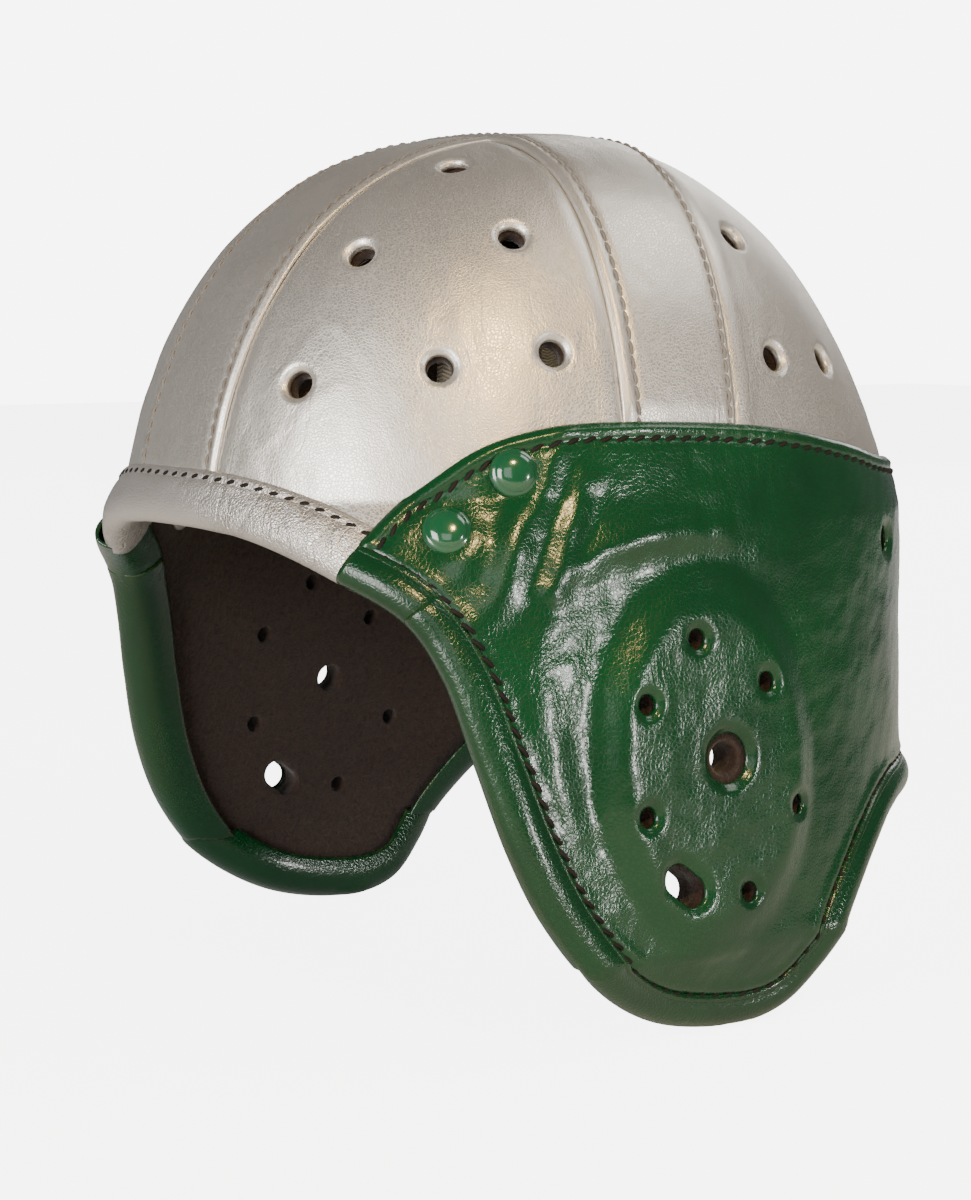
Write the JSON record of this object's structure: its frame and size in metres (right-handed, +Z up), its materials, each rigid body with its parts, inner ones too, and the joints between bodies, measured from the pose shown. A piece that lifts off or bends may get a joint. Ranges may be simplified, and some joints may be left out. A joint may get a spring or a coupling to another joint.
{
  "type": "american football helmet",
  "caption": "Vintage leather football helmet: seamed vented crown, folded-edge side panels and flexing ear flaps with rolled bindings, felt lined, for wearing or display.",
  "frame": {"origin": "centre of the head opening, level with the lower edge of the brow", "axes": "+Z up, the wearer faces -Y, the wearer's left is +X"},
  "size_m": [0.215, 0.2282, 0.2333],
  "materials": {
    "silver_leather": "satin metallic paint over fine-grained leather",
    "green_leather": "glossy lacquered leather",
    "felt_lining": "dark pressed wool felt",
    "enamel_rivet": "glossy enamel",
    "rivet_washer": "dull plated",
    "sweatband_leather": "matt brown leather",
    "cotton_webbing": "woven cotton"
  },
  "bodies": {
    "root": {"crown_panel_front_left": "silver_leather", "crown_panel_front_right": "silver_leather", "crown_panel_rear_left": "silver_leather", "crown_panel_rear_right": "silver_leather", "top_strip_front": "silver_leather", "top_strip_rear": "silver_leather", "cross_strip": "silver_leather", "brow_binding": "silver_leather", "corner_binding_left": "green_leather", "corner_binding_right": "green_leather", "side_panel_left": "green_leather", "side_panel_right": "green_leather", "nape_binding": "green_leather", "back_seam_strip": "green_leather", "crown_felt": "felt_lining", "side_felt_left": "felt_lining", "side_felt_right": "felt_lining", "rivet_upper_left": "enamel_rivet", "rivet_upper_right": "enamel_rivet", "rivet_lower_left": "enamel_rivet", "rivet_lower_right": "enamel_rivet", "rivet_back_upper_left": "rivet_washer", "rivet_back_upper_right": "rivet_washer", "rivet_back_lower_left": "rivet_washer", "rivet_back_lower_right": "rivet_washer", "sweatband": "sweatband_leather", "webbing_strap_a": "cotton_webbing", "webbing_strap_b": "cotton_webbing"},
    "left_flap": {"ear_flap_left": "green_leather", "flap_felt_left": "felt_lining", "flap_binding_left": "green_leather"},
    "right_flap": {"ear_flap_right": "green_leather", "flap_felt_right": "felt_lining", "flap_binding_right": "green_leather"}
  },
  "joints": [
    {"name": "left_flap_flex", "type": "hinge", "parent": "root", "child": "left_flap", "pos_m": [0.092, -0.02, -0.0411], "axis": [0, -0.9511, 0.309], "range_deg": [-8, 15], "stiffness_Nm_per_rad": 1.2},
    {"name": "right_flap_flex", "type": "hinge", "parent": "root", "child": "right_flap", "pos_m": [-0.092, -0.02, -0.0411], "axis": [0, 0.9511, -0.309], "range_deg": [-8, 15], "stiffness_Nm_per_rad": 1.2}
  ]
}
